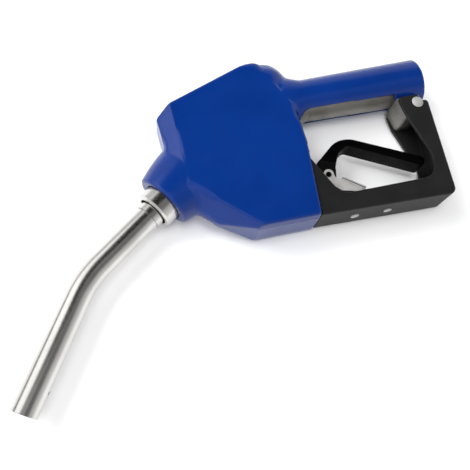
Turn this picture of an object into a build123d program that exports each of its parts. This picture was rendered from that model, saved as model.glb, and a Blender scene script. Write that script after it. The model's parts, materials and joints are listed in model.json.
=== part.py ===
from build123d import *

import os
from math import atan2, cos, degrees, hypot, radians, sin

# Automatic shut-off fuel nozzle, built as separate pieces.
#
# Frame: millimetres. The origin is the centre of the hose inlet's mouth. +X runs back along the
# handle and out of the inlet, +Y points from the lever towards the handle's top, and +Z is the
# nozzle's left side. The plane of symmetry is z = 0 and the nozzle lies on its right side.

# Body and its moulded cover
HALF_THICK = 20.4  # flat sides of the cover
SKIN = 2.2  # thickness of the cover
SIDE_LEVEL = 12.0  # level where a bevel meets the side wall
EDGE_ROUND = 2.4
FLAT_FRONT_X = -231.0
NOSE_X = -244.0
NOSE_TOP_Y = 2.0
BROW_Y = 10.6  # where the nose's bevel meets the sloping top
TOP_Y = 37.8
TOP_START_X = -156.0
BOTTOM_CORNER = (-184.6, -114.0)
FLAT_CORNER = (-182.0, -111.8)  # the same corner on the flat sides
REAR_BOTTOM = (-131.2, -114.9)
REAR_MID = (-124.0, -50.0)
REAR_TOP_X = -124.5
CHIN = (-241.0, -67.0)  # foot of the nose, inside the neck
KEEL = ((-225.6, -87.8), (-213.4, -99.2))  # edge at mid-thickness beside the neck
CHAMBER_X = -141.0  # axis of the main valve, along Y

# Handle
HANDLE_FRONT_R = 19.4
HANDLE_REAR_R = 20.4
HANDLE_REAR_TALL = 22.2  # the handle grows taller than wide towards its rear end
COVER_END_X = 2.4  # the cover reaches past the inlet's mouth
HANDLE_BORE_R = 11.0
INLET_R = 12.1  # minor radius of a 3/4 inch pipe thread
INLET_LENGTH = 20.0
GAP_FRONT_X = -119.0  # gap in the cover under the handle
GAP_HALF = 12.8
GAP_ROUND = 11.0

# Spout, which starts at the neck's mouth
MOUTH = (-253.6, -69.1)
NECK_ANGLE = -144.8  # direction of the neck and upper spout, degrees from +X
TIP_ANGLE = -124.0  # direction of the lower spout
NECK_R = 24.8  # in-plane half width of the neck at its mouth
NECK_WAIST_R = 28.8
NECK_WAIST = 15.0
NECK_ROOT_R = 31.5
NECK_LENGTH = 46.0
MOUTH_WALL = 3.0  # the cover closes over the casting at the neck's mouth
SPOUT_R = 10.3
SPOUT_WALL = 1.0
RING_FRONT = 11.8  # how far the bushing stands out of the mouth
RING_R = 16.9
UPPER_LENGTH = 75.8  # ring front to the bend's corner
LOWER_LENGTH = 107.5  # bend's corner to the tip
BEND_R = 90.0
TUBE_INSET = 24.0  # how far the tube runs back inside the neck

# Hand guard
GUARD_HALF = 17.15
GUARD_WALL = 2.6
RIVET_AT = (-12.0, -28.4)
LUG_FRONT_X = -28.0
LUG_REAR_X = -6.5
LUG_TOP_Y = -20.6  # the lug is narrower above this, where the cover hugs it
LUG_NECK_HALF = 9.0

# Lever and its pivot
PIVOT = (-186.0, -84.0)
LEVER_HALF = 10.0
LEVER_THICK = 6.8
GRIP_WALL = 1.1
NOSE_R = 6.0  # round pad that lifts the main stem
PIVOT_R = 2.5
CLIP_AT = (-112.7, -78.5)
CLIP_PIN_R = 1.7
CLIP_SHEET = 1.6
BAR_ANGLE = -37.0  # thumb bar of the clip
BAR_LENGTH = 21.6
BAR_THICK = 3.0
BAR_FOLD = 0.9
BAR_FOLD_DEEP = 7.0

# Valve stems
STEM_R = 3.0
SEAT_TOP_Y = -13.5
GALLERY_LOW_Y = -40.0
GALLERY_HIGH_Y = -22.0
STEM_END_Y = PIVOT[1] + NOSE_R + 0.25
LATCH_R = 5.0
RUN = 0.05  # radial clearance of a running fit

# Places inside the body
BAY_FRONT_X = -201.0  # lever bay
BAY_HALF = 11.2
BAY_TOP_Y = -46.0
TONGUE_X = -157.0  # front of the guard's tongues
CHEEK_IN = GUARD_HALF - GUARD_WALL
GUARD_ROUND = 2.0
LUG_HALF = CHEEK_IN - 0.1
SLANT_ANGLE = -42.9  # lower front edge of the flat sides
SLANT_BEVEL = 14.7
BOTTOM_BEVEL = 1.2
SHOULDER_BEVEL = 7.0
CHAMBER_LOW_Y = -12.0
CHAMBER_CONE_Y = 26.0
CHAMBER_TOP_R = 13.0
SHOULDER_X = (-131.0, -110.0)  # blend from the housing to the handle
SHOULDER_TALL = 29.0
CHAMBER_BORE_R = 14.5
SEAT_R = 12.8
CAP_R = 16.3
CAP_LOW_Y = 22.0
CAP_TOP_Y = 27.7
SEAT_LOW_Y = -18.0
POPPET_TOP_Y = -6.0
PACKING_R = 6.45
PACKING_LOW_Y = -58.0
BUSH_R = 8.4
BUSH_LOW_Y = -38.0
BUSH_TOP_Y = -3.0
DOME_R = 14.5
DIAPHRAGM_R = 17.0
DIAPHRAGM_Y = 8.0
DOME_TOP_Y = 16.8
CAP_SCREW_R = 0.8
LATCH_TOP_Y = -3.0
LATCH_SPRING_LOW_Y = -22.0
COLLAR_R = 7.3
PIN_R = 2.4
PIN_WAIST_R = 1.9
BALLS_Y = -12.0
BALL_R = 1.5
CLIP_IN = LEVER_HALF + 0.35
BAR_HALF = CLIP_IN + CLIP_SHEET + 0.8

# Places in the neck, as distances back from its mouth
BUSHING_IN = 13.0
BUSHING_R = 15.6
SLEEVE_R = 11.4
SLEEVE_OUT = 18.5  # how far the adapter's sleeve reaches out of the mouth
ADAPTER_R = 14.8
ADAPTER_BORE_R = 15.1
ADAPTER_BACK = 26.0
CHECK_BORE_R = 12.6
CHECK_PORT_R = 8.5
CHECK_SEAT = 46.0
SENSE_SIDE = 7.25
PORT_BACK = 19.6

# Fasteners of the guard
RIVET_R = 3.2
RIVET_HEAD_H = 2.4
RIVET_DOME_R = 6.9
GUARD_SCREWS = ((-148.0, -68.0), (-148.0, -98.0))
GUARD_SCREW_R = 2.0
FLOOR_START = (-170.0, -111.2)  # inner face of the guard's bottom wall
FLOOR_ANGLE = -1.94
FLOOR_WALL = 2.6
RACK_RIVETS = (73.0, 103.3)  # distances along that face
RACK_RIVET_R = 1.8
RACK_HEAD_R = 3.5
RACK_HEAD = 1.2
RACK_SPAN = (66.0, 110.0)
RACK_THICK = 1.5
RACK_HALF = 5.0
RACK_TEETH = (83.0, 88.0, 93.0)

CENTER_MIN = (Align.CENTER, Align.CENTER, Align.MIN)
CENTER_Y = (Align.MIN, Align.CENTER, Align.CENTER)


def unit(angle):
    """Unit vector in the XY plane at an angle from +X, in degrees."""
    return Vector(cos(radians(angle)), sin(radians(angle)), 0)


def rod(start, end, radius):
    """Round bar between two points."""
    start, end = Vector(*start), Vector(*end)
    axis = end - start
    return Plane(origin=start, z_dir=axis) * Cylinder(radius, axis.length, align=CENTER_MIN)


def upright(x, low, high, radius, z=0):
    """Round bar along +Y."""
    return rod((x, low, z), (x, high, z), radius)


def across(point, half, radius):
    """Round bar along Z, centred on z = 0."""
    return rod((point[0], point[1], -half), (point[0], point[1], half), radius)


def block(low, high):
    """Box between two corners."""
    size = [b - a for a, b in zip(low, high)]
    middle = [(a + b) / 2 for a, b in zip(low, high)]
    return Pos(*middle) * Box(*size)


def slab(outline, low, high):
    """Closed XY outline, as a list of edges or a face, raised between two Z levels."""
    face = outline if isinstance(outline, Face) else make_face(outline)
    return extrude(Pos(0, 0, low) * face, amount=high - low)


def polygon(*points):
    """Closed face through the given corners."""
    return make_face(Polyline(*points, close=True))


def rounded_polygon(*corners):
    """Closed face through corners given as x, y and the corner's radius."""
    face = polygon(*[(x, y) for x, y, _ in corners])
    for x, y, radius in corners:
        if radius:
            face = fillet(face.vertices().sort_by_distance((x, y))[0], radius)
    return face


def ring(start, end, outer, inner):
    """Round bar between two points with a hole right through."""
    return rod(start, end, outer) - rod(start, end, inner)


def coil(start, end, radius, wire, turns):
    """Compression spring of round wire between two points."""
    start, end = Vector(*start), Vector(*end)
    axis = end - start
    height = axis.length - 2 * wire
    path = Plane(origin=start, z_dir=axis) * (Pos(0, 0, wire) * Helix(height / turns, height, radius))
    section = Plane(origin=path @ 0, z_dir=path % 0) * Circle(wire)
    return sweep(section, path=path)


def donut(centre, axis, major, minor):
    """Sealing ring of round section."""
    return Plane(origin=centre, z_dir=axis) * Torus(major, minor)


def neck_point(back, side=0.0, z=0.0):
    """Point a distance back from the mouth along the neck's axis, and to one side of it."""
    axis = unit(NECK_ANGLE)
    across_axis = unit(NECK_ANGLE - 90)
    centre = Vector(*MOUTH) - axis * back + across_axis * side
    return (centre.X, centre.Y, z)


def neck_rod(front, back, radius):
    """Round bar on the neck's axis between two distances back from the mouth."""
    return rod(neck_point(front), neck_point(back), radius)


# ---------------------------------------------------------------- body shape


def side_bevel(point, angle, width, inset, level=SIDE_LEVEL):
    """Pair of wedges that bevel both flat sides along an edge at an angle through a point."""
    run = unit(angle)
    out = unit(angle - 90)
    depth = HALF_THICK - level
    back = Vector(depth, width) * (inset / hypot(depth, width))
    inner = (-back.X - 5 * width, HALF_THICK - back.Y + 4 * depth)
    outer = (-back.X + 4 * width, level - back.Y - 4 * depth)
    corner = (4 * width, HALF_THICK + 4 * depth)
    plane = Plane(origin=Vector(*point) - run * 200, x_dir=out, z_dir=run)
    up = plane.y_dir.Z
    wedge = polygon(*[(x, y * up) for x, y in (inner, outer, corner)])
    cut = extrude(plane * wedge, amount=400)
    return cut + mirror(cut, about=Plane.XY)


def body_block(inset):
    """Faceted block of the valve body, drawn in by inset on every side."""
    shoulder = (REAR_TOP_X, 2)
    outline = polygon(
        (NOSE_X, NOSE_TOP_Y),
        (FLAT_FRONT_X, BROW_Y),
        (TOP_START_X, TOP_Y),
        (CHAMBER_X, TOP_Y),
        shoulder,
        REAR_MID,
        REAR_BOTTOM,
        BOTTOM_CORNER,
        *reversed(KEEL),
        CHIN,
    )
    if inset:
        outline = offset(outline, -inset, kind=Kind.INTERSECTION)
    shape = slab(outline, inset - HALF_THICK, HALF_THICK - inset)
    fall = degrees(atan2(shoulder[1] - TOP_Y, shoulder[0] - CHAMBER_X))
    keel_line = Vector(*FLAT_CORNER) + unit(SLANT_ANGLE - 90) * SLANT_BEVEL
    shape -= side_bevel((NOSE_X, 0), -90, FLAT_FRONT_X - NOSE_X, inset)
    shape -= side_bevel(keel_line, SLANT_ANGLE, SLANT_BEVEL, inset, 0)
    shape -= side_bevel(BOTTOM_CORNER, -1, BOTTOM_BEVEL, inset)
    shape -= side_bevel(shoulder, fall + 180, SHOULDER_BEVEL, inset)
    return shape


def neck(inset):
    """Flared neck, oval at its root and narrower at its mouth."""
    sections = []
    for back, half_width in ((0, NECK_R), (NECK_WAIST, NECK_WAIST_R), (NECK_LENGTH, NECK_ROOT_R)):
        plane = Plane(origin=neck_point(back), x_dir=(0, 0, 1), z_dir=-unit(NECK_ANGLE))
        sections.append(plane * Ellipse(HALF_THICK - inset, half_width - inset))
    return loft(sections)


def chamber(inset):
    """Round housing of the main valve, narrowing above and blended into the handle behind."""
    radius = HALF_THICK - inset
    housing = upright(CHAMBER_X, CHAMBER_LOW_Y, CHAMBER_CONE_Y, radius)
    rise = TOP_Y + 0.6 - inset - CHAMBER_CONE_Y
    crown = Cone(radius, CHAMBER_TOP_R, rise, align=CENTER_MIN)
    crown = Plane(origin=(CHAMBER_X, CHAMBER_CONE_Y, 0), z_dir=(0, 1, 0)) * crown
    housing += fillet(crown.edges().sort_by(Axis.Y)[-1], 3)
    blend = loft(
        [
            oval(SHOULDER_X[0], SHOULDER_TALL - inset, HALF_THICK - inset),
            oval(SHOULDER_X[1], HANDLE_FRONT_R + 0.5 - inset, HANDLE_FRONT_R - inset),
        ]
    )
    return housing + blend


def oval(x, tall, wide):
    """Elliptical section across the handle."""
    return Plane(origin=(x, 0, 0), x_dir=(0, 0, 1), z_dir=(1, 0, 0)) * Ellipse(wide, tall)


def handle(inset, end_x=0.0):
    """Handle tube, round in front and a little taller than wide at its rear end."""
    front = oval(CHAMBER_X, HANDLE_FRONT_R - inset, HANDLE_FRONT_R - inset)
    return loft([front, oval(end_x, HANDLE_REAR_TALL - inset, HANDLE_REAR_R - inset)])


def cover_form():
    """Outside of the moulded cover."""
    block_shape = body_block(0)
    block_shape = fillet(block_shape.edges(), EDGE_ROUND)
    throat = neck(0)
    throat = fillet(throat.edges().sort_by_distance(neck_point(0))[0], EDGE_ROUND)
    grip = handle(0, COVER_END_X)
    grip = fillet(grip.edges().sort_by(Axis.X)[-1], EDGE_ROUND - 0.4)
    return block_shape + chamber(0) + throat + grip


def casting_form():
    """Outside of the casting, which is also the inside of the cover."""
    shape = body_block(SKIN) + chamber(SKIN) + neck(SKIN) + handle(SKIN)
    return shape - neck_rod(-MOUTH_WALL, MOUTH_WALL, NECK_ROOT_R)


def both_sides(shape):
    """Shape and its mirror image across the plane of symmetry."""
    return shape + mirror(shape, about=Plane.XY)


# ---------------------------------------------------------------- body pieces


def lug():
    """Lug under the handle's rear end that the guard is riveted to."""
    outline = rounded_polygon(
        (LUG_FRONT_X - 0.3, LUG_TOP_Y, 0),
        (LUG_FRONT_X + 2.5, -39, 4),
        (LUG_REAR_X, -39, 4),
        (LUG_REAR_X, LUG_TOP_Y, 0),
    )
    top = block((LUG_FRONT_X, LUG_TOP_Y, -LUG_NECK_HALF), (LUG_REAR_X, -12, LUG_NECK_HALF))
    return slab(outline, -LUG_HALF, LUG_HALF) + top


def valve_body():
    """Aluminium casting with its passages, lever bay and guard lug."""
    shape = casting_form()
    shape += lug()
    shape -= block((BAY_FRONT_X, -120, -BAY_HALF), (-118, BAY_TOP_Y, BAY_HALF))
    pocket = block((TONGUE_X - 1, -120, CHEEK_IN - 0.1), (-118, BAY_TOP_Y - 8, HALF_THICK))
    shape -= both_sides(pocket)
    shape += upright(CHAMBER_X, PACKING_LOW_Y, BAY_TOP_Y + 2, 10)
    shape -= rod((CHAMBER_X, 0, 0), (0, 0, 0), HANDLE_BORE_R)
    shape -= rod((-INLET_LENGTH, 0, 0), (0, 0, 0), INLET_R)
    shape -= upright(CHAMBER_X, SEAT_LOW_Y, TOP_Y, SEAT_R)
    shape -= upright(CHAMBER_X, SEAT_TOP_Y + 1.5, TOP_Y, CHAMBER_BORE_R)
    shape -= upright(CHAMBER_X, CAP_LOW_Y, TOP_Y, CAP_R + RUN)
    shape -= upright(CHAMBER_X, GALLERY_HIGH_Y - 1, SEAT_LOW_Y, 10)
    gallery = block((-207, GALLERY_LOW_Y, -13.5), (CHAMBER_X + 10, GALLERY_HIGH_Y, 13.5))
    column = upright(PIVOT[0], GALLERY_LOW_Y, GALLERY_HIGH_Y, BUSH_R + 1.5)
    shape -= gallery - column
    shape -= upright(CHAMBER_X, PACKING_LOW_Y, GALLERY_LOW_Y, STEM_R + RUN)
    shape -= upright(CHAMBER_X, PACKING_LOW_Y, BAY_TOP_Y, PACKING_R + RUN)
    shape -= upright(PIVOT[0], BAY_TOP_Y, BUSH_LOW_Y, LATCH_R + RUN)
    shape -= upright(PIVOT[0], BUSH_LOW_Y, BUSH_TOP_Y, BUSH_R + 0.02)
    shape -= upright(PIVOT[0], BUSH_TOP_Y, DIAPHRAGM_Y, DOME_R)
    shape -= upright(PIVOT[0], DIAPHRAGM_Y, TOP_Y, DIAPHRAGM_R + RUN)
    for x, z in cap_screw_places():
        shape -= upright(x, DIAPHRAGM_Y - 6, DIAPHRAGM_Y, CAP_SCREW_R, z)
    shape -= neck_rod(0, BUSHING_IN, BUSHING_R + RUN)
    shape -= neck_rod(BUSHING_IN, ADAPTER_BACK, ADAPTER_BORE_R)
    shape -= neck_rod(ADAPTER_BACK, CHECK_SEAT, CHECK_BORE_R)
    shape -= neck_rod(CHECK_SEAT, CHECK_SEAT + 18, CHECK_PORT_R)
    shape -= spout_screw_rod(0.02)
    shape -= across(RIVET_AT, LUG_HALF + 1, RIVET_R + RUN)
    for point in GUARD_SCREWS:
        shape -= across(point, HALF_THICK, GUARD_SCREW_R)
    return shape


def scuff_guard():
    """Moulded vinyl cover over the body and handle, open under the handle and at the lever."""
    shape = cover_form() - casting_form()
    shape -= neck_rod(-MOUTH_WALL, 2 * MOUTH_WALL, RING_R + 0.4)
    gap = rounded_polygon(
        (GAP_FRONT_X, -GAP_HALF, GAP_ROUND),
        (GAP_FRONT_X, GAP_HALF, GAP_ROUND),
        (LUG_FRONT_X, GAP_HALF, 0),
        (LUG_FRONT_X, LUG_NECK_HALF, 0),
        (LUG_REAR_X, LUG_NECK_HALF, 0),
        (LUG_REAR_X, -LUG_NECK_HALF, 0),
        (LUG_FRONT_X, -LUG_NECK_HALF, 0),
        (LUG_FRONT_X, -GAP_HALF, 0),
    )
    shape -= extrude(Plane(origin=(0, -5, 0), x_dir=(1, 0, 0), z_dir=(0, -1, 0)) * gap, amount=30)
    inside = HALF_THICK - SKIN
    shape -= block((-150, -112.4, -inside), (-118, BAY_TOP_Y - 4, inside))
    mouth = extrude(oval(-1, HANDLE_REAR_TALL - SKIN, HANDLE_REAR_R - SKIN), amount=5)
    return shape - mouth


def main_cap():
    """Threaded plug over the main valve, with a hexagon socket."""
    plug = upright(CHAMBER_X, CAP_LOW_Y, CAP_TOP_Y, CAP_R)
    top = Plane(origin=(CHAMBER_X, CAP_TOP_Y, 0), z_dir=(0, -1, 0))
    plug -= extrude(top * RegularPolygon(7, 6), amount=3)
    return plug - donut((CHAMBER_X, CAP_LOW_Y + 1.5, 0), (0, 1, 0), CAP_R, 1.0)


def main_cap_seal():
    """Sealing ring in the cap's groove, flush with its side."""
    seal = donut((CHAMBER_X, CAP_LOW_Y + 1.5, 0), (0, 1, 0), CAP_R, 0.98)
    return seal & upright(CHAMBER_X, CAP_LOW_Y, CAP_TOP_Y, CAP_R + 0.03)


def main_valve_spring():
    """Spring between the cap and the main poppet."""
    return coil((CHAMBER_X, POPPET_TOP_Y + 0.1, 0), (CHAMBER_X, CAP_LOW_Y - 0.1, 0), 7, 0.9, 6)


def valve_seat():
    """Seat ring pressed into the floor of the main chamber."""
    return ring((CHAMBER_X, SEAT_LOW_Y, 0), (CHAMBER_X, SEAT_TOP_Y, 0), SEAT_R - 0.02, 9.5)


def stem_packing():
    """Packing round the main stem."""
    start, end = (CHAMBER_X, PACKING_LOW_Y + 6, 0), (CHAMBER_X, BAY_TOP_Y, 0)
    return ring(start, end, PACKING_R, STEM_R + RUN)


def gland_nut():
    """Nut that holds the packing in."""
    shank = upright(CHAMBER_X, PACKING_LOW_Y, PACKING_LOW_Y + 5.9, PACKING_R)
    under = Plane(origin=(CHAMBER_X, PACKING_LOW_Y, 0), z_dir=(0, -1, 0))
    nut = shank + extrude(under * RegularPolygon(8.5, 6, major_radius=False), amount=5)
    return nut - upright(CHAMBER_X, PACKING_LOW_Y - 6, BAY_TOP_Y, STEM_R + RUN)


def cap_screw_places():
    """Places of the diaphragm cap's screws."""
    radius = DOME_R + (DIAPHRAGM_R - DOME_R) / 2
    return [
        (PIVOT[0] + radius * cos(radians(a)), radius * sin(radians(a))) for a in range(30, 390, 60)
    ]


def diaphragm():
    """Rubber diaphragm with its rim under the cap."""
    low, high = (PIVOT[0], DIAPHRAGM_Y, 0), (PIVOT[0], DIAPHRAGM_Y + 1, 0)
    shape = ring(low, high, DIAPHRAGM_R, PIN_R + 0.2)
    for x, z in cap_screw_places():
        shape -= upright(x, DIAPHRAGM_Y, DIAPHRAGM_Y + 1, CAP_SCREW_R + 0.1, z)
    return shape


def diaphragm_cap():
    """Cap of the vacuum chamber, hollow below."""
    shape = upright(PIVOT[0], DIAPHRAGM_Y + 1, DOME_TOP_Y, DIAPHRAGM_R)
    shape = fillet(shape.edges().sort_by(Axis.Y)[-1], 1.5)
    shape -= upright(PIVOT[0], DIAPHRAGM_Y + 1, DOME_TOP_Y - 1.5, DOME_R - 1)
    for x, z in cap_screw_places():
        shape -= upright(x, DIAPHRAGM_Y + 1, DOME_TOP_Y, CAP_SCREW_R + 0.1, z)
        shape -= upright(x, DOME_TOP_Y - 2.5, DOME_TOP_Y, CAP_SCREW_R + 0.5, z)
    return shape


def diaphragm_cap_screws():
    """Screws that hold the diaphragm cap, one group."""
    screws = []
    for x, z in cap_screw_places():
        shank = upright(x, DIAPHRAGM_Y - 6, DOME_TOP_Y - 2.5, CAP_SCREW_R, z)
        screws.append(shank + upright(x, DOME_TOP_Y - 2.5, DOME_TOP_Y - 1, CAP_SCREW_R + 0.4, z))
    return Compound(children=screws)


def diaphragm_spring():
    """Spring that holds the diaphragm down."""
    return coil((PIVOT[0], DIAPHRAGM_Y + 2.3, 0), (PIVOT[0], DOME_TOP_Y - 1.6, 0), 5.5, 0.5, 3)


def latch_guide_bush():
    """Bush that guides the latch stem, with a pocket for its spring."""
    shape = ring((PIVOT[0], BUSH_LOW_Y, 0), (PIVOT[0], BUSH_TOP_Y, 0), BUSH_R, LATCH_R + RUN)
    return shape - upright(PIVOT[0], LATCH_SPRING_LOW_Y, BUSH_TOP_Y, COLLAR_R + RUN)


def latch_spring():
    """Spring that lifts the latch stem."""
    low, high = (PIVOT[0], LATCH_SPRING_LOW_Y + 0.1, 0), (PIVOT[0], LATCH_TOP_Y - 2.1, 0)
    return coil(low, high, LATCH_R + 1.25, 0.6, 4)


def inlet_strainer():
    """Cone screen in the inlet with rows of round openings."""
    start = -INLET_LENGTH - 1
    outer = Cone(10.9, 6, 30, align=CENTER_MIN)
    inner = Cone(10.1, 5.2, 29.2, align=CENTER_MIN)
    place = Plane(origin=(start, 0, 0), z_dir=(-1, 0, 0))
    screen = place * (outer - inner)
    for row in range(4):
        for turn in range(0, 180, 30):
            x = start - 5 - 6 * row
            aim = Vector(0, cos(radians(turn)), sin(radians(turn)))
            centre = Vector(x, 0, 0)
            screen -= rod(centre - aim * 14, centre + aim * 14, 1.3)
    return screen


# ---------------------------------------------------------------- spout


def spout_bushing():
    """Stainless ring that holds the spout in the neck, recessed round the tube."""
    shape = neck_rod(-RING_FRONT, 2.9, RING_R)
    rims = shape.edges().filter_by(GeomType.CIRCLE)
    shape = chamfer(rims.sort_by_distance(neck_point(-RING_FRONT))[0], 1.6)
    shape += neck_rod(2.9, BUSHING_IN - 0.1, BUSHING_R)
    shape -= neck_rod(-RING_FRONT - 1, BUSHING_IN, SLEEVE_R + RUN)
    return shape - neck_rod(-RING_FRONT - 1, -RING_FRONT + 2.5, SLEEVE_R + 1.8)


def spout_adapter():
    """Ring fixed on the spout's inner end, with a sleeve that reaches past the bushing."""
    shape = neck_rod(-SLEEVE_OUT, BUSHING_IN, SLEEVE_R)
    shape += neck_rod(BUSHING_IN, ADAPTER_BACK, ADAPTER_R)
    shape -= neck_rod(-SLEEVE_OUT - 1, TUBE_INSET, SPOUT_R + 0.01)
    shape -= neck_rod(TUBE_INSET, ADAPTER_BACK, SPOUT_R - SPOUT_WALL)
    shape -= donut(neck_point(BUSHING_IN + 6), unit(NECK_ANGLE), ADAPTER_R - 0.7, 1.0)
    return shape - spout_screw_rod(0.02)


def spout_o_ring():
    """Sealing ring round the adapter."""
    return donut(neck_point(BUSHING_IN + 6), unit(NECK_ANGLE), ADAPTER_R - 0.7, 0.98)


def spout_screw_rod(extra):
    """Radial bar of the screw that locks the spout."""
    back = BUSHING_IN + 2.5
    return rod(neck_point(back, SPOUT_R + 1), neck_point(back, 21), 1.6 + extra)


def spout_set_screw():
    """Screw that locks the spout in the neck."""
    return spout_screw_rod(0)


def spout_route(side, start_back, short):
    """Centre line of the spout, moved to one side, from inside the neck to near the tip."""
    left, left_low = unit(NECK_ANGLE + 90), unit(TIP_ANGLE + 90)
    start = Vector(*neck_point(start_back)) + left * side
    bend = Vector(*neck_point(-RING_FRONT - UPPER_LENGTH))
    tip = bend + unit(TIP_ANGLE) * (LOWER_LENGTH - short) + left_low * side
    corner = bend + (left + left_low) * (side / (1 + left.dot(left_low)))
    return FilletPolyline(start, corner, tip, radius=BEND_R - side)


def bent_bar(side, start_back, short, radius):
    """Round bar that follows the spout."""
    route = spout_route(side, start_back, short)
    section = Plane(origin=route @ 0, z_dir=route % 0) * Circle(radius)
    return sweep(section, path=route)


def sensing_port():
    """Radial bar of the shut-off port near the tip."""
    low = spout_route(0, 0, PORT_BACK) @ 1
    out = unit(TIP_ANGLE + 90)
    return rod(low + out * SENSE_SIDE, low + out * (SPOUT_R + 2), 1.2)


def spout_tube():
    """Bent stainless spout with its shut-off port."""
    tube = bent_bar(0, TUBE_INSET - 0.1, 0, SPOUT_R)
    tube = fillet(tube.edges().filter_by(GeomType.CIRCLE).sort_by(Axis.X)[0], 0.45)
    return tube - bent_bar(0, TUBE_INSET - 0.1, 0, SPOUT_R - SPOUT_WALL) - sensing_port()


def sensing_tube():
    """Fine tube inside the spout that carries air to the shut-off diaphragm."""
    tube = bent_bar(SENSE_SIDE, TUBE_INSET - 1, PORT_BACK - 4, 2.0)
    return tube - bent_bar(SENSE_SIDE, TUBE_INSET - 1, PORT_BACK - 2, 1.3) - sensing_port()


def check_poppet():
    """Poppet that closes the spout when no fuel flows."""
    disc = neck_rod(CHECK_SEAT - 4, CHECK_SEAT - 1.4, CHECK_BORE_R - 1)
    return disc + neck_rod(CHECK_SEAT - 9, CHECK_SEAT - 4, 5)


def check_seal():
    """Rubber ring on the check poppet's face."""
    start, end = neck_point(CHECK_SEAT - 1.4), neck_point(CHECK_SEAT - 0.05)
    return ring(start, end, CHECK_BORE_R - 1, 6)


def check_spring():
    """Spring behind the check poppet."""
    return coil(neck_point(ADAPTER_BACK + 0.1), neck_point(CHECK_SEAT - 4.1), 9.9, 0.6, 4)


# ---------------------------------------------------------------- hand guard


def hand_guard():
    """Channel-shaped guard: two cheeks joined along the bottom and up the rear."""
    outline = rounded_polygon(
        (-130.5, -113.8, 0),
        (-8.5, -119.2, 6),
        (-1.2, -27, 3.4),
        (-6.7, -26.8, 0.8),
        (-9.4, -20.2, 3),
        (-28.2, -20.2, 4),
        (-29.6, -60, 0),
        (-129, -56, 0),
    )
    shape = slab(outline, -GUARD_HALF, GUARD_HALF)
    shape = fillet(shape.edges().filter_by(Plane.XY), GUARD_ROUND)
    tongue = slab(polygon((TONGUE_X, -108), (-128, -108), (-128, -58), (TONGUE_X, -58)), CHEEK_IN, GUARD_HALF)
    shape += both_sides(tongue)
    channel = polygon((-170, -111.2), (-10.8, -116.6), (-5.4, -45), (-5.4, -10), (-170, -10))
    shape -= slab(channel, -CHEEK_IN, CHEEK_IN)
    opening = rounded_polygon(
        (-29.6, -15, 0),
        (-27.3, -37.5, 0),
        (-17.3, -79, 22),
        (-20.5, -100.6, 13),
        (-109, -99.6, 15),
        (-127.5, -58, 0),
        (-127.5, -15, 0),
    )
    shape -= slab(opening, -HALF_THICK, HALF_THICK)
    for place in RACK_RIVETS:
        shape -= floor_rod(place, -8, 0.1, RACK_RIVET_R + RUN)
        shape -= floor_rod(place, -8, RACK_HEAD - FLOOR_WALL, RACK_HEAD_R + 0.5)
    shape -= across(RIVET_AT, HALF_THICK, RIVET_R + RUN)
    for point in GUARD_SCREWS:
        shape -= across(point, HALF_THICK, GUARD_SCREW_R + 0.1)
    return shape


def floor_plane():
    """Plane of the guard's side view with x along the inner face of its bottom wall."""
    return Plane(origin=(*FLOOR_START, 0), x_dir=unit(FLOOR_ANGLE), z_dir=(0, 0, 1))


def floor_rod(place, low, high, radius):
    """Round bar square to the guard's bottom wall, between two levels above its inner face."""
    plane = floor_plane()
    start, end = plane.from_local_coords((place, low, 0)), plane.from_local_coords((place, high, 0))
    return rod(start, end, radius)


def hold_open_rack():
    """Steel strip inside the guard's bottom with teeth for the hold-open clip."""
    start, end = RACK_SPAN
    profile = [(start, 0), (end, 0), (end, RACK_THICK)]
    for place in reversed(RACK_TEETH):
        profile += [(place + 2.4, RACK_THICK), (place, RACK_THICK + 2.2), (place - 0.6, RACK_THICK)]
    profile.append((start, RACK_THICK))
    strip = extrude(floor_plane() * Pos(0, 0, -RACK_HALF) * polygon(*profile), amount=2 * RACK_HALF)
    for place in RACK_RIVETS:
        strip -= floor_rod(place, -1, RACK_THICK + 1, RACK_RIVET_R + RUN)
    return strip


def rack_rivets():
    """Two rivets that hold the rack, with their heads sunk in the guard's underside."""
    rivets = []
    for place in RACK_RIVETS:
        shank = floor_rod(place, -FLOOR_WALL, RACK_THICK, RACK_RIVET_R)
        tail = floor_rod(place, RACK_THICK, RACK_THICK + 0.9, RACK_RIVET_R + 1)
        head = floor_rod(place, -FLOOR_WALL + 0.1, RACK_HEAD - FLOOR_WALL, RACK_HEAD_R)
        rivets.append(shank + tail + head)
    return Compound(children=rivets)


def guard_rivet():
    """Rivet through the guard and lug with a domed head at each end."""
    x, y = RIVET_AT
    dome = Sphere(RIVET_DOME_R) & Pos(0, 0, RIVET_DOME_R) * Box(20, 20, 2 * RIVET_HEAD_H)
    dome = Pos(x, y, GUARD_HALF + RIVET_HEAD_H - RIVET_DOME_R) * dome
    return across(RIVET_AT, GUARD_HALF + 0.2, RIVET_R) + both_sides(dome)


def guard_screws():
    """Screws that hold the guard's tongues to the casting, one group."""
    screws = []
    for x, y in GUARD_SCREWS:
        for side in (-1, 1):
            shank = rod((x, y, side * (BAY_HALF + 0.1)), (x, y, side * GUARD_HALF), GUARD_SCREW_R)
            head = rod((x, y, side * GUARD_HALF), (x, y, side * (GUARD_HALF + 0.9)), 3.4)
            screws.append(shank + head)
    return Compound(children=screws)


# ---------------------------------------------------------------- stems and lever


def main_stem():
    """Stem of the main valve with a button that the lever lifts."""
    stem = upright(CHAMBER_X, STEM_END_Y, POPPET_TOP_Y - 1, STEM_R)
    button = upright(CHAMBER_X, STEM_END_Y, STEM_END_Y + 3.5, 4.6)
    return stem + fillet(button.edges().sort_by(Axis.Y)[0], 0.8)


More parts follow.
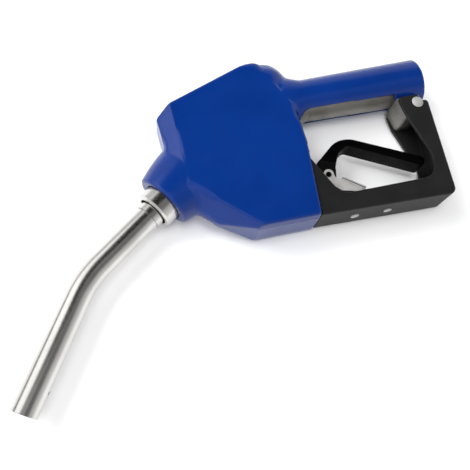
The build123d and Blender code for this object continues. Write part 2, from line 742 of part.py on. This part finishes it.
def main_poppet():
    """Main valve disc with a hub for its spring."""
    disc = upright(CHAMBER_X, SEAT_TOP_Y + 2, POPPET_TOP_Y, 12.5)
    disc += upright(CHAMBER_X, POPPET_TOP_Y, POPPET_TOP_Y + 6, 5.2)
    return disc - upright(CHAMBER_X, SEAT_TOP_Y, POPPET_TOP_Y - 1, STEM_R)


def poppet_disc():
    """Rubber disc under the main poppet."""
    low, high = (CHAMBER_X, SEAT_TOP_Y + 0.02, 0), (CHAMBER_X, SEAT_TOP_Y + 2, 0)
    return ring(low, high, 12, STEM_R)


def latch_stem():
    """Latch stem with a collar for its spring and an eye for the lever's pivot."""
    x, y = PIVOT
    stem = upright(x, y + 9, LATCH_TOP_Y, LATCH_R)
    stem += upright(x, LATCH_TOP_Y - 2, LATCH_TOP_Y, COLLAR_R)
    eye = slab(rounded_polygon((x - 6, y - 6, 5), (x + 6, y - 6, 5), (x + 6, y + 10, 2), (x - 6, y + 10, 2)), -4, 4)
    stem += eye
    stem -= upright(x, BALLS_Y - 4, LATCH_TOP_Y, PIN_R + RUN)
    for turn in range(0, 360, 120):
        stem -= ball_rod(turn)
    return stem - across(PIVOT, 5, PIVOT_R)


def ball_rod(turn):
    """Radial bar of one ball's hole in the latch stem."""
    aim = Vector(cos(radians(turn)), 0, sin(radians(turn)))
    centre = Vector(PIVOT[0], BALLS_Y, 0)
    return rod(centre, centre + aim * (LATCH_R + 1), BALL_R + 0.05)


def latch_balls():
    """Locking balls in the latch stem, resting on the latch pin's waist, one group."""
    reach = PIN_WAIST_R + BALL_R + 0.03
    return Compound(
        children=[
            Pos(PIVOT[0] + reach * cos(radians(a)), BALLS_Y, reach * sin(radians(a))) * Sphere(BALL_R)
            for a in range(0, 360, 120)
        ]
    )


def lever_pivot_pin():
    """Pin through the latch stem's eye that the lever turns on."""
    return across(PIVOT, LEVER_HALF - 0.2, PIVOT_R)


def latch_pin():
    """Pin on the diaphragm with a plate each side of it and a waist for the balls."""
    x = PIVOT[0]
    pin = upright(x, BALLS_Y + 3, DIAPHRAGM_Y + 2.2, PIN_R)
    pin += upright(x, BALLS_Y - 3, BALLS_Y + 3, PIN_WAIST_R)
    pin += upright(x, DIAPHRAGM_Y - 1.3, DIAPHRAGM_Y - 0.1, 7)
    return pin + upright(x, DIAPHRAGM_Y + 1.1, DIAPHRAGM_Y + 2.2, 8)


def lever_outline():
    """Side view of the lever from its front leg to its rear end."""
    return rounded_polygon(
        (-126, -79, 0),
        (-119.5, -66, 7),
        (-96, -47.8, 19),
        (-82.5, -47.8, 19),
        (-20.4, -78.6, 3),
        (-23.6, -86.3, 3),
        (-86, -53.8, 5),
        (-96, -59, 5),
        (-103.5, -72, 10),
        (-108, -91, 4),
        (-126, -91, 0),
    )


def grip_limit():
    """Block that covers the lever behind the end of its grip."""
    across_leg = polygon((-124.2, -59.6), (-99.4, -69.9), (-60, -100), (-5, -100), (-5, -30), (-124, -30))
    return slab(across_leg, -HALF_THICK, HALF_THICK)


def lever_core():
    """Lever with its pivot ears, the pad under the main stem and the bar inside the grip."""
    x, y = PIVOT
    front = slab(lever_outline(), -LEVER_HALF, LEVER_HALF) - grip_limit()
    inner = offset(lever_outline(), -GRIP_WALL, kind=Kind.INTERSECTION)
    front += slab(inner, GRIP_WALL - LEVER_HALF, LEVER_HALF - GRIP_WALL)
    arm = polygon((x, y - 7), (-120, y - 7), (-120, y + 5), (x, y + 5))
    shape = front + slab(arm, -LEVER_HALF, LEVER_HALF) + across(PIVOT, LEVER_HALF, 7)
    shape += across((CHAMBER_X, y), LEVER_HALF - 3, NOSE_R)
    shape -= block((x - 12, y - 12, -4.4), (x + 14, y + 12, 4.4))
    shape -= across(PIVOT, 30, PIVOT_R + RUN)
    shape -= across(CLIP_AT, 30, CLIP_PIN_R)
    return shape - block((CLIP_AT[0] - 5.5, CLIP_AT[1] - 5.5, -4), (CLIP_AT[0] + 5.5, CLIP_AT[1] + 5.5, 4))


def lever_grip():
    """Plastic grip moulded round the lever."""
    outer = slab(lever_outline(), -LEVER_HALF, LEVER_HALF)
    outer = fillet(outer.edges().filter_by(Plane.XY), 2.0)
    inner = offset(lever_outline(), -GRIP_WALL, kind=Kind.INTERSECTION)
    return (outer & grip_limit()) - slab(inner, GRIP_WALL - LEVER_HALF, LEVER_HALF - GRIP_WALL)


def clip_pin():
    """Pin through the lever that carries the hold-open clip, headed at both ends."""
    x, y = CLIP_AT
    pin = across(CLIP_AT, CLIP_IN + CLIP_SHEET + 0.1, CLIP_PIN_R)
    head = rod((x, y, CLIP_IN + CLIP_SHEET + 0.1), (x, y, CLIP_IN + CLIP_SHEET + 0.8), 2.4)
    return pin + both_sides(head)


def clip_spring():
    """Torsion spring of the hold-open clip, wound on its pin."""
    x, y = CLIP_AT
    return coil((x, y, -3.6), (x, y, 3.6), CLIP_PIN_R + 1.3, 0.6, 4)


def hold_open_clip():
    """Stainless clip with two side arms and a folded thumb bar across them."""
    x, y = CLIP_AT
    arm = rounded_polygon(
        (x - 4.9, y + 4.9, 3.7),
        (x + 4.9, y + 4.9, 4.4),
        (x + 4.9, y - 3.4, 3),
        (x + 11, y - 6.8, 1),
        (x + 27.5, y - 19.2, 1),
        (x + 26.6, y - 21.2, 1),
        (x + 7.5, y - 16.4, 4),
        (x - 0.8, y - 8.0, 5),
    )
    arms = both_sides(slab(arm, CLIP_IN, CLIP_IN + CLIP_SHEET))
    arms -= across(CLIP_AT, 30, CLIP_PIN_R + RUN)
    plane = Plane(origin=(x + 10.8, y - 5.6, 0), x_dir=unit(BAR_ANGLE), z_dir=(0, 0, 1))
    bar = plane * Box(BAR_LENGTH, BAR_THICK, 2 * BAR_HALF, align=CENTER_Y)
    fold = plane * Pos(-1, 0, BAR_HALF) * Box(BAR_LENGTH + 2, BAR_FOLD, BAR_FOLD_DEEP, align=CENTER_Y)
    return arms + bar - both_sides(fold)


# ---------------------------------------------------------------- write the pieces

PIECES = (
    valve_body,
    scuff_guard,
    main_cap,
    main_cap_seal,
    main_valve_spring,
    valve_seat,
    stem_packing,
    gland_nut,
    diaphragm,
    diaphragm_cap,
    diaphragm_cap_screws,
    diaphragm_spring,
    latch_guide_bush,
    latch_spring,
    inlet_strainer,
    spout_bushing,
    spout_adapter,
    spout_o_ring,
    spout_set_screw,
    spout_tube,
    sensing_tube,
    check_poppet,
    check_seal,
    check_spring,
    hand_guard,
    guard_rivet,
    hold_open_rack,
    rack_rivets,
    guard_screws,
    main_stem,
    main_poppet,
    poppet_disc,
    latch_stem,
    latch_balls,
    lever_pivot_pin,
    latch_pin,
    lever_core,
    lever_grip,
    clip_pin,
    clip_spring,
    hold_open_clip,
)

os.makedirs("parts", exist_ok=True)
for piece in PIECES:
    export_step(piece(), f"parts/{piece.__name__}.step")
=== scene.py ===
import json
import math

import bmesh
import bpy
import numpy as np
from mathutils import Matrix, Vector
from mathutils.bvhtree import BVHTree


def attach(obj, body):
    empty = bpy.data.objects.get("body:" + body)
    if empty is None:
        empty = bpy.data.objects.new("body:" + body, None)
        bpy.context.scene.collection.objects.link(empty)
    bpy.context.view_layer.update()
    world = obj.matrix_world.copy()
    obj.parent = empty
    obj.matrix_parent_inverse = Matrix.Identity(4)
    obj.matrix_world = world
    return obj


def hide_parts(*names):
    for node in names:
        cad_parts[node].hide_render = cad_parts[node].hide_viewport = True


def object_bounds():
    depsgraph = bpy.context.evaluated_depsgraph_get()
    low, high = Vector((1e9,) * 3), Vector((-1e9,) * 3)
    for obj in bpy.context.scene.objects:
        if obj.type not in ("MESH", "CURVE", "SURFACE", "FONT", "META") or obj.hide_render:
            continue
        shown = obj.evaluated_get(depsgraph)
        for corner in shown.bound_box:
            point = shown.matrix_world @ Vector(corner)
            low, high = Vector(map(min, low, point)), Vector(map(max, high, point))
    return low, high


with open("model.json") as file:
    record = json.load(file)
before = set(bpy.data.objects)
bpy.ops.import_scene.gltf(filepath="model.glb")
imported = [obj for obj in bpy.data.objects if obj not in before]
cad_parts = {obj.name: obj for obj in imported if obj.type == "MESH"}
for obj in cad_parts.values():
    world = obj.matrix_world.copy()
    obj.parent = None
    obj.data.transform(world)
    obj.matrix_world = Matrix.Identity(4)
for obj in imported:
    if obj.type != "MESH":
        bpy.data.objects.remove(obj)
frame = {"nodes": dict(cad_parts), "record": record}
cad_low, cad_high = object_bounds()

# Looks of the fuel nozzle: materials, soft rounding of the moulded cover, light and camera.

# Camera in metres, degrees and millimetres of lens, and the point that the lights aim at
CAMERA_AT = Vector((-0.2878, -0.2435, 0.4381))
CAMERA_AIM = Vector((-0.2022, -0.1100, 0.0))
CAMERA_ROLL = 19.06
CAMERA_LENS = 43.29
LIGHTS_AIM = Vector((-0.2, -0.1, 0.0))

# Floor: its height, under the lowest point, and half its width
FLOOR_Z = cad_low.z
FLOOR_HALF = 3.0

# Lights: name, azimuth from +X, elevation, distance, width, height, watts
LIGHTS = (
    ("key", 136, 46, 1.4, 0.8, 0.7, 12.5),
    ("top", 0, 88, 1.3, 0.5, 0.5, 6.0),
    ("front", -128, 62, 1.4, 0.8, 0.7, 5.0),
)

# Pale room: its light at the horizon and overhead, the height on the unit sphere where the change
# ends, and its patches as azimuth, elevation and radius in degrees and the factor at the middle,
# which fills PATCH_CORE of the radius
ROOM_HORIZON = 0.90
ROOM_OVERHEAD = 0.50
ROOM_CLIMB = 0.6
PATCH_CORE = 0.55
PATCHES = (
    (62, 62, 34, 0.03),
    (-40, 58, 22, 0.35),
    (150, 8, 18, 0.50),
    (139, 46, 30, 3.2),
)

# Moulded cover: remesh size, strength and number of smoothing passes, the distances from the CAD
# surface between which points stop being drawn back onto it, and the gap closed by welding
COVER_VOXEL = 0.0009
SMOOTHING = 0.5
COVER_PASSES = 10
JUNCTION_PASSES = 90
SETTLE_NEAR = 0.00012
SETTLE_FAR = 0.00030
WELD_GAP = 1e-6

# Where the cover's faces run softly into each other: centre and reach
JUNCTIONS = (
    ((-0.236, -0.028, 0.0), 0.016),
    ((-0.223, -0.048, 0.0), 0.017),
    ((-0.219, -0.068, 0.0), 0.017),
    ((-0.224, -0.086, 0.0), 0.014),
    ((-0.143, 0.037, 0.0), 0.020),
    ((-0.131, 0.031, 0.0), 0.018),
    ((-0.122, 0.020, 0.0), 0.018),
    ((-0.121, -0.018, 0.0), 0.012),
)

# Faces that meet at more than this many degrees keep a sharp edge
SHARP_ANGLE = 35


# ---------------------------------------------------------------- node helpers


class Nodes:
    """Short way to build one material's node tree."""

    def __init__(self, name):
        self.material = bpy.data.materials.new(name)
        self.material.use_nodes = True
        self.tree = self.material.node_tree
        self.shader = self.tree.nodes["Principled BSDF"]
        self.coords = self.add("ShaderNodeTexCoord").outputs["Object"]

    def add(self, kind, **settings):
        """New node with its settings and unlinked inputs filled in."""
        node = self.tree.nodes.new(kind)
        for key, value in settings.items():
            if hasattr(node, key):
                setattr(node, key, value)
            else:
                node.inputs[key.replace("_", " ")].default_value = value
        return node

    def link(self, source, target):
        """Joins an output to an input."""
        self.tree.links.new(source, target)

    def set(self, **values):
        """Constants on the shader's own sockets."""
        for key, value in values.items():
            self.shader.inputs[key.replace("_", " ")].default_value = value

    def noise(self, scale, detail=4.0, stretch=None, rough=0.5):
        """Noise in the object's metres, stretched along an axis if asked."""
        node = self.add("ShaderNodeTexNoise", Scale=scale, Detail=detail, Roughness=rough)
        source = self.coords
        if stretch:
            mapping = self.add("ShaderNodeMapping")
            mapping.inputs["Scale"].default_value = stretch
            self.link(self.coords, mapping.inputs["Vector"])
            source = mapping.outputs["Vector"]
        self.link(source, node.inputs["Vector"])
        return node.outputs["Fac"]

    def ramp(self, factor, low, high, start=0.35, end=0.65):
        """Maps a factor between two values or two colours."""
        if isinstance(low, tuple):
            node = self.add("ShaderNodeMix", data_type="RGBA")
            mask = self.ramp(factor, 0.0, 1.0, start, end)
            self.link(mask, node.inputs["Factor"])
            node.inputs[6].default_value = (*low, 1)
            node.inputs[7].default_value = (*high, 1)
            return node.outputs[2]
        node = self.add("ShaderNodeMapRange")
        node.inputs["From Min"].default_value = start
        node.inputs["From Max"].default_value = end
        node.inputs["To Min"].default_value = low
        node.inputs["To Max"].default_value = high
        self.link(factor, node.inputs["Value"])
        return node.outputs["Result"]

    def blend(self, factor, first, second):
        """Mixes a colour output towards a fixed colour by a mask."""
        node = self.add("ShaderNodeMix", data_type="RGBA")
        self.link(factor, node.inputs["Factor"])
        self.link(first, node.inputs[6])
        node.inputs[7].default_value = (*second, 1)
        return node.outputs[2]

    def edges(self, radius, low=0.03, high=0.25):
        """Mask that is 1 on sharp outer and inner edges."""
        bevel = self.add("ShaderNodeBevel", samples=4, Radius=radius)
        geometry = self.add("ShaderNodeNewGeometry")
        dot = self.add("ShaderNodeVectorMath", operation="DOT_PRODUCT")
        self.link(bevel.outputs["Normal"], dot.inputs[0])
        self.link(geometry.outputs["Normal"], dot.inputs[1])
        away = self.add("ShaderNodeMath", operation="SUBTRACT")
        away.inputs[0].default_value = 1.0
        self.link(dot.outputs["Value"], away.inputs[1])
        return self.ramp(away.outputs["Value"], 0.0, 1.0, low, high)

    def hollow_shade(self, distance, low=0.25, high=0.6):
        """Mask from ambient occlusion that is 1 inside bores, gaps and other recesses, used to
        paint shade there.
        """
        shade = self.add("ShaderNodeAmbientOcclusion", samples=8, Distance=distance)
        return self.ramp(shade.outputs["AO"], 1.0, 0.0, low, high)

    def times(self, first, second):
        """Product of two outputs."""
        node = self.add("ShaderNodeMath", operation="MULTIPLY")
        self.link(first, node.inputs[0])
        self.link(second, node.inputs[1])
        return node.outputs["Value"]

    def bump(self, height, distance, strength=1.0, under=None):
        """Bump from a height, added on top of another bump if given."""
        node = self.add("ShaderNodeBump", Distance=distance, Strength=strength)
        self.link(height, node.inputs["Height"])
        if under:
            self.link(under, node.inputs["Normal"])
        return node.outputs["Normal"]

    def finish(self, colour=None, rough=None, normal=None):
        """Connects what was built to the shader and returns the material."""
        for output, name in ((colour, "Base Color"), (rough, "Roughness"), (normal, "Normal")):
            if output:
                self.link(output, self.shader.inputs[name])
        return self.material


# ---------------------------------------------------------------- materials


def blue_vinyl():
    """Soft satin vinyl with a faint mottle, fine orange peel and a painted highlight along its
    edges.
    """
    n = Nodes("blue_vinyl")
    rim = n.edges(0.0022, 0.01, 0.10)
    colour = n.ramp(n.noise(28, 3), (0.0015, 0.0235, 0.166), (0.0020, 0.0275, 0.188))
    # Painted highlight: edges are lightened towards pale blue, broken up by noise, in place of the
    # glints of light on them.
    rim_highlight = n.times(rim, n.ramp(n.noise(160, 5), 0.0, 0.4, 0.45, 0.7))
    colour = n.blend(rim_highlight, colour, (0.040, 0.115, 0.36))
    rough = n.ramp(n.noise(60, 5), 0.17, 0.24)
    normal = n.bump(n.noise(900, 2), 0.000012)
    normal = n.bump(n.noise(40, 2), 0.00012, under=normal)
    n.set(Specular_IOR_Level=0.40)
    return n.finish(colour, rough, normal)


def polished_stainless():
    """Polished stainless with fine marks, a painted dark line along its edges and painted shade
    inside bores and gaps.
    """
    n = Nodes("stainless")
    marks = n.noise(700, 3)
    colour = n.ramp(n.noise(24, 4), (0.60, 0.585, 0.56), (0.69, 0.68, 0.66))
    # Painted shade: edges are darkened to a thin dark line.
    colour = n.blend(n.edges(0.0006, 0.02, 0.2), colour, (0.10, 0.095, 0.09))
    # Painted shade: bores and gaps are darkened almost to black where the occlusion mask finds
    # them.
    colour = n.blend(n.hollow_shade(0.012), colour, (0.03, 0.028, 0.026))
    rough = n.ramp(marks, 0.17, 0.26)
    n.set(Metallic=1.0, Anisotropic=0.2)
    return n.finish(colour, rough, n.bump(marks, 0.000004))


def pressed_sheet():
    """Pale satin sheet steel with pressing marks, brighter edges and painted shade in its recesses.
    """
    n = Nodes("pressed_sheet")
    marks = n.noise(420, 4, stretch=(1, 1, 5))
    colour = n.ramp(n.noise(130, 4), (0.36, 0.355, 0.34), (0.48, 0.475, 0.46))
    colour = n.blend(n.edges(0.0005, 0.02, 0.2), colour, (0.66, 0.655, 0.64))
    # Painted shade: recesses are darkened almost to black.
    colour = n.blend(n.hollow_shade(0.004, 0.15, 0.5), colour, (0.03, 0.03, 0.03))
    rough = n.ramp(marks, 0.42, 0.56)
    n.set(Metallic=0.35)
    return n.finish(colour, rough, n.bump(marks, 0.00001))


def cast_aluminium():
    """Bare cast aluminium: dull grey-brown, grainy, brighter where it is rubbed, with painted shade
    in its recesses.
    """
    n = Nodes("cast_aluminium")
    grain = n.noise(650, 6, rough=0.7)
    cloud = n.noise(55, 4)
    colour = n.ramp(cloud, (0.22, 0.212, 0.192), (0.33, 0.32, 0.295))
    colour = n.blend(n.edges(0.0008), colour, (0.50, 0.49, 0.46))
    # Painted shade: recesses, such as the lug between the guard's cheeks, are darkened.
    colour = n.blend(n.hollow_shade(0.02, 0.30, 0.75), colour, (0.05, 0.047, 0.042))
    rough = n.ramp(grain, 0.42, 0.62)
    n.set(Metallic=0.85)
    return n.finish(colour, rough, n.bump(grain, 0.00006))


def guard_plastic():
    """Black moulded plastic with a fine spark-eroded texture and a painted highlight along its
    edges.
    """
    n = Nodes("guard_plastic")
    grain = n.noise(1400, 3, rough=0.6)
    cloud = n.noise(40, 4)
    colour = n.ramp(cloud, (0.0085, 0.0085, 0.0087), (0.0120, 0.0120, 0.0120))
    # Painted highlight: edges are lightened to grey, broken up by noise, in place of the glints of
    # light on them.
    edge_highlight = n.times(n.edges(0.0009), n.ramp(n.noise(220, 5), 0.3, 0.9, 0.4, 0.65))
    colour = n.blend(edge_highlight, colour, (0.075, 0.075, 0.076))
    rough = n.ramp(grain, 0.44, 0.60)
    n.set(Specular_IOR_Level=0.22)
    return n.finish(colour, rough, n.bump(grain, 0.00005))


def grip_plastic():
    """Smooth near-black grip with faint handling marks."""
    n = Nodes("grip_plastic")
    marks = n.noise(120, 6)
    colour = n.ramp(n.noise(35, 3), (0.0004, 0.0004, 0.0004), (0.0008, 0.0008, 0.0008))
    colour = n.blend(n.edges(0.0007), colour, (0.014, 0.013, 0.012))
    rough = n.ramp(marks, 0.38, 0.50)
    n.set(Specular_IOR_Level=0.05)
    return n.finish(colour, rough, n.bump(n.noise(800, 2), 0.00002))


def plated_steel(name, base, roughness):
    """Machined or plated metal with turning marks and brighter edges."""
    n = Nodes(name)
    marks = n.noise(500, 4, stretch=(1, 6, 1))
    darker = tuple(0.78 * c for c in base)
    colour = n.ramp(n.noise(90, 4), darker, base)
    colour = n.blend(n.edges(0.0005), colour, tuple(min(1, 1.25 * c) for c in base))
    rough = n.ramp(marks, roughness, roughness + 0.14)
    n.set(Metallic=1.0)
    return n.finish(colour, rough, n.bump(marks, 0.00001))


def sealing_rubber():
    """Black sealing rubber with a dusty bloom."""
    n = Nodes("sealing_rubber")
    bloom = n.noise(180, 5)
    colour = n.ramp(bloom, (0.014, 0.014, 0.014), (0.030, 0.029, 0.028))
    return n.finish(colour, n.ramp(bloom, 0.62, 0.80), n.bump(n.noise(900, 3), 0.00003))


def acetal():
    """Off-white turned acetal."""
    n = Nodes("acetal")
    marks = n.noise(400, 4, stretch=(1, 5, 1))
    colour = n.ramp(n.noise(80, 3), (0.60, 0.58, 0.52), (0.70, 0.68, 0.62))
    return n.finish(colour, n.ramp(marks, 0.35, 0.5), n.bump(marks, 0.00001))


def floor_paper():
    """White studio sheet with the faintest tone change."""
    n = Nodes("floor_paper")
    colour = n.ramp(n.noise(3, 2), (0.93, 0.93, 0.935), (0.95, 0.95, 0.955))
    return n.finish(colour, n.ramp(n.noise(200, 3), 0.85, 0.95))


# ---------------------------------------------------------------- pieces


def smooth(obj):
    """Smooth shading with sharp edges kept."""
    bpy.context.view_layer.objects.active = obj
    obj.select_set(True)
    bpy.ops.object.shade_smooth_by_angle(angle=math.radians(SHARP_ANGLE))
    obj.select_set(False)


def smoothstep(low, high, value):
    """Soft step from 0 at low to 1 at high."""
    t = np.clip((value - low) / (high - low), 0.0, 1.0)
    return t * t * (3 - 2 * t)


def blend_weight(points):
    """How strongly each point of the cover is blended, from its distance to the junctions."""
    weight = np.zeros(len(points))
    for centre, reach in JUNCTIONS:
        away = points - np.array(centre)
        away[:, 2] = 0.0
        near = 1.0 - smoothstep(0.5 * reach, reach, np.linalg.norm(away, axis=1))
        weight = np.maximum(weight, near)
    return weight


def modifier(obj, kind, **settings):
    """Adds a modifier and applies it straight away."""
    step = obj.modifiers.new(kind.lower(), kind)
    for key, value in settings.items():
        setattr(step, key, value)
    graph = bpy.context.evaluated_depsgraph_get()
    done = bpy.data.meshes.new_from_object(obj.evaluated_get(graph))
    obj.modifiers.clear()
    obj.data = done


def soft_cover():
    """Moulded cover with the soft rounding of dipped vinyl, made from the cover's own shape."""
    mesh = frame["nodes"]["scuff_guard"].data.copy()
    welded = bmesh.new()
    welded.from_mesh(mesh)
    bmesh.ops.remove_doubles(welded, verts=welded.verts, dist=WELD_GAP)
    welded.to_mesh(mesh)
    tree = BVHTree.FromBMesh(welded)
    welded.free()
    cover = bpy.data.objects.new("moulded_cover", mesh)
    bpy.context.scene.collection.objects.link(cover)
    modifier(cover, "REMESH", mode="VOXEL", voxel_size=COVER_VOXEL)
    modifier(cover, "SMOOTH", factor=SMOOTHING, iterations=COVER_PASSES)
    points = np.array([v.co for v in cover.data.vertices])
    group = cover.vertex_groups.new(name="junctions")
    for index, value in enumerate(blend_weight(points)):
        if value > 0:
            group.add([index], float(value), "REPLACE")
    modifier(
        cover, "SMOOTH", factor=SMOOTHING, iterations=JUNCTION_PASSES, vertex_group="junctions"
    )
    settle(cover.data, tree)
    for polygon in cover.data.polygons:
        polygon.use_smooth = True
    return cover


def settle(mesh, tree):
    """Draws points that are almost on the cover's own surface onto it, so its faces stay flat."""
    points = np.array([v.co for v in mesh.vertices])
    nearest = [tree.find_nearest(point) for point in points]
    away = np.array([hit[3] for hit in nearest])
    pull = 1.0 - smoothstep(SETTLE_NEAR, SETTLE_FAR, away)
    points += pull[:, None] * (np.array([hit[0] for hit in nearest]) - points)
    mesh.vertices.foreach_set("co", points.ravel())
    mesh.update()


MATERIALS = {
    "blue_vinyl": blue_vinyl(),
    "cast_aluminium": cast_aluminium(),
    "black_plastic": guard_plastic(),
    "grip_plastic": grip_plastic(),
    "stainless": polished_stainless(),
    "steel": plated_steel("steel", (0.030, 0.029, 0.028), 0.34),
    "brass": plated_steel("brass", (0.66, 0.49, 0.22), 0.22),
    "rubber": sealing_rubber(),
    "acetal": acetal(),
}


OWN_LOOKS = {
    "hold_open_clip": pressed_sheet(),
    "clip_pin": plated_steel("dark_pin", (0.012, 0.012, 0.012), 0.30),
    "guard_rivet": pressed_sheet(),
    "rack_rivets": pressed_sheet(),
}


def dress_nodes():
    """Gives every CAD node its own look or its slot's material, and smooth shading."""
    slots = {row["node"]: row["material_slot"] for row in frame["record"]["subparts"]}
    for name, obj in frame["nodes"].items():
        obj.data.materials.clear()
        obj.data.materials.append(OWN_LOOKS.get(name) or MATERIALS[slots[name]])
        smooth(obj)


dress_nodes()
cover = soft_cover()
cover.data.materials.clear()
cover.data.materials.append(MATERIALS["blue_vinyl"])
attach(cover, "nozzle_body")
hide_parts("scuff_guard")


# ---------------------------------------------------------------- floor, light, camera


def add_floor():
    """Wide pale floor that the nozzle lies on."""
    mesh = bpy.data.meshes.new("floor")
    half = FLOOR_HALF
    corners = [(-half, -half), (half, -half), (half, half), (-half, half)]
    mesh.from_pydata([(x, y, FLOOR_Z) for x, y in corners], [], [(0, 1, 2, 3)])
    floor = bpy.data.objects.new("floor", mesh)
    bpy.context.scene.collection.objects.link(floor)
    mesh.materials.append(floor_paper())


def area_light(name, at, aim, width, height, power):
    """Soft rectangular light that points at a place and is itself not mirrored in metal."""
    light = bpy.data.lights.new(name, "AREA")
    light.shape = "RECTANGLE"
    light.size = width
    light.size_y = height
    light.energy = power
    obj = bpy.data.objects.new(name, light)
    obj.location = at
    obj.rotation_euler = (Vector(aim) - Vector(at)).to_track_quat("-Z", "Y").to_euler()
    obj.visible_glossy = False
    bpy.context.scene.collection.objects.link(obj)


def add_lights():
    """Soft key from behind the spout, one light overhead and one in front."""
    for name, azimuth, elevation, away, width, height, power in LIGHTS:
        place = LIGHTS_AIM + away * direction(azimuth, elevation)
        area_light(name, place, LIGHTS_AIM, width, height, power)


def direction(azimuth, elevation):
    """Unit vector at an azimuth from +X and an elevation above the floor, in degrees."""
    flat = math.cos(math.radians(elevation))
    turn = math.radians(azimuth)
    return Vector((flat * math.cos(turn), flat * math.sin(turn), math.sin(math.radians(elevation))))


def add_room():
    """Pale room round the nozzle, with the dark and bright patches that metal reflects as bands."""
    world = bpy.data.worlds.new("room")
    world.use_nodes = True
    tree = world.node_tree
    background = tree.nodes["Background"]
    way = tree.nodes.new("ShaderNodeTexCoord").outputs["Generated"]
    climb = tree.nodes.new("ShaderNodeSeparateXYZ")
    tree.links.new(way, climb.inputs["Vector"])
    height = tree.nodes.new("ShaderNodeMapRange")
    height.inputs["From Max"].default_value = ROOM_CLIMB
    height.inputs["To Min"].default_value = ROOM_HORIZON
    height.inputs["To Max"].default_value = ROOM_OVERHEAD
    tree.links.new(climb.outputs["Z"], height.inputs["Value"])
    level = height.outputs["Result"]
    for azimuth, elevation, radius, factor in PATCHES:
        dot = tree.nodes.new("ShaderNodeVectorMath")
        dot.operation = "DOT_PRODUCT"
        tree.links.new(way, dot.inputs[0])
        dot.inputs[1].default_value = direction(azimuth, elevation)
        patch = tree.nodes.new("ShaderNodeMapRange")
        patch.interpolation_type = "SMOOTHSTEP"
        patch.inputs["From Min"].default_value = math.cos(math.radians(radius))
        patch.inputs["From Max"].default_value = math.cos(math.radians(PATCH_CORE * radius))
        patch.inputs["To Min"].default_value = 1.0
        patch.inputs["To Max"].default_value = factor
        tree.links.new(dot.outputs["Value"], patch.inputs["Value"])
        product = tree.nodes.new("ShaderNodeMath")
        product.operation = "MULTIPLY"
        tree.links.new(level, product.inputs[0])
        tree.links.new(patch.outputs["Result"], product.inputs[1])
        level = product.outputs["Value"]
    background.inputs["Color"].default_value = (0.995, 0.995, 1, 1)
    tree.links.new(level, background.inputs["Strength"])
    bpy.context.scene.world = world


def add_camera():
    """Camera at the viewing angle."""
    camera = bpy.data.cameras.new("camera")
    camera.lens = CAMERA_LENS
    camera.clip_start = 0.01
    obj = bpy.data.objects.new("camera", camera)
    turn = (CAMERA_AIM - CAMERA_AT).to_track_quat("-Z", "Y").to_matrix().to_4x4()
    roll = Matrix.Rotation(math.radians(CAMERA_ROLL), 4, "Z")
    obj.matrix_world = Matrix.Translation(CAMERA_AT) @ turn @ roll
    bpy.context.scene.collection.objects.link(obj)
    bpy.context.scene.camera = obj


bpy.context.scene.view_settings.view_transform = "Standard"
add_floor()
add_lights()
add_room()
add_camera()
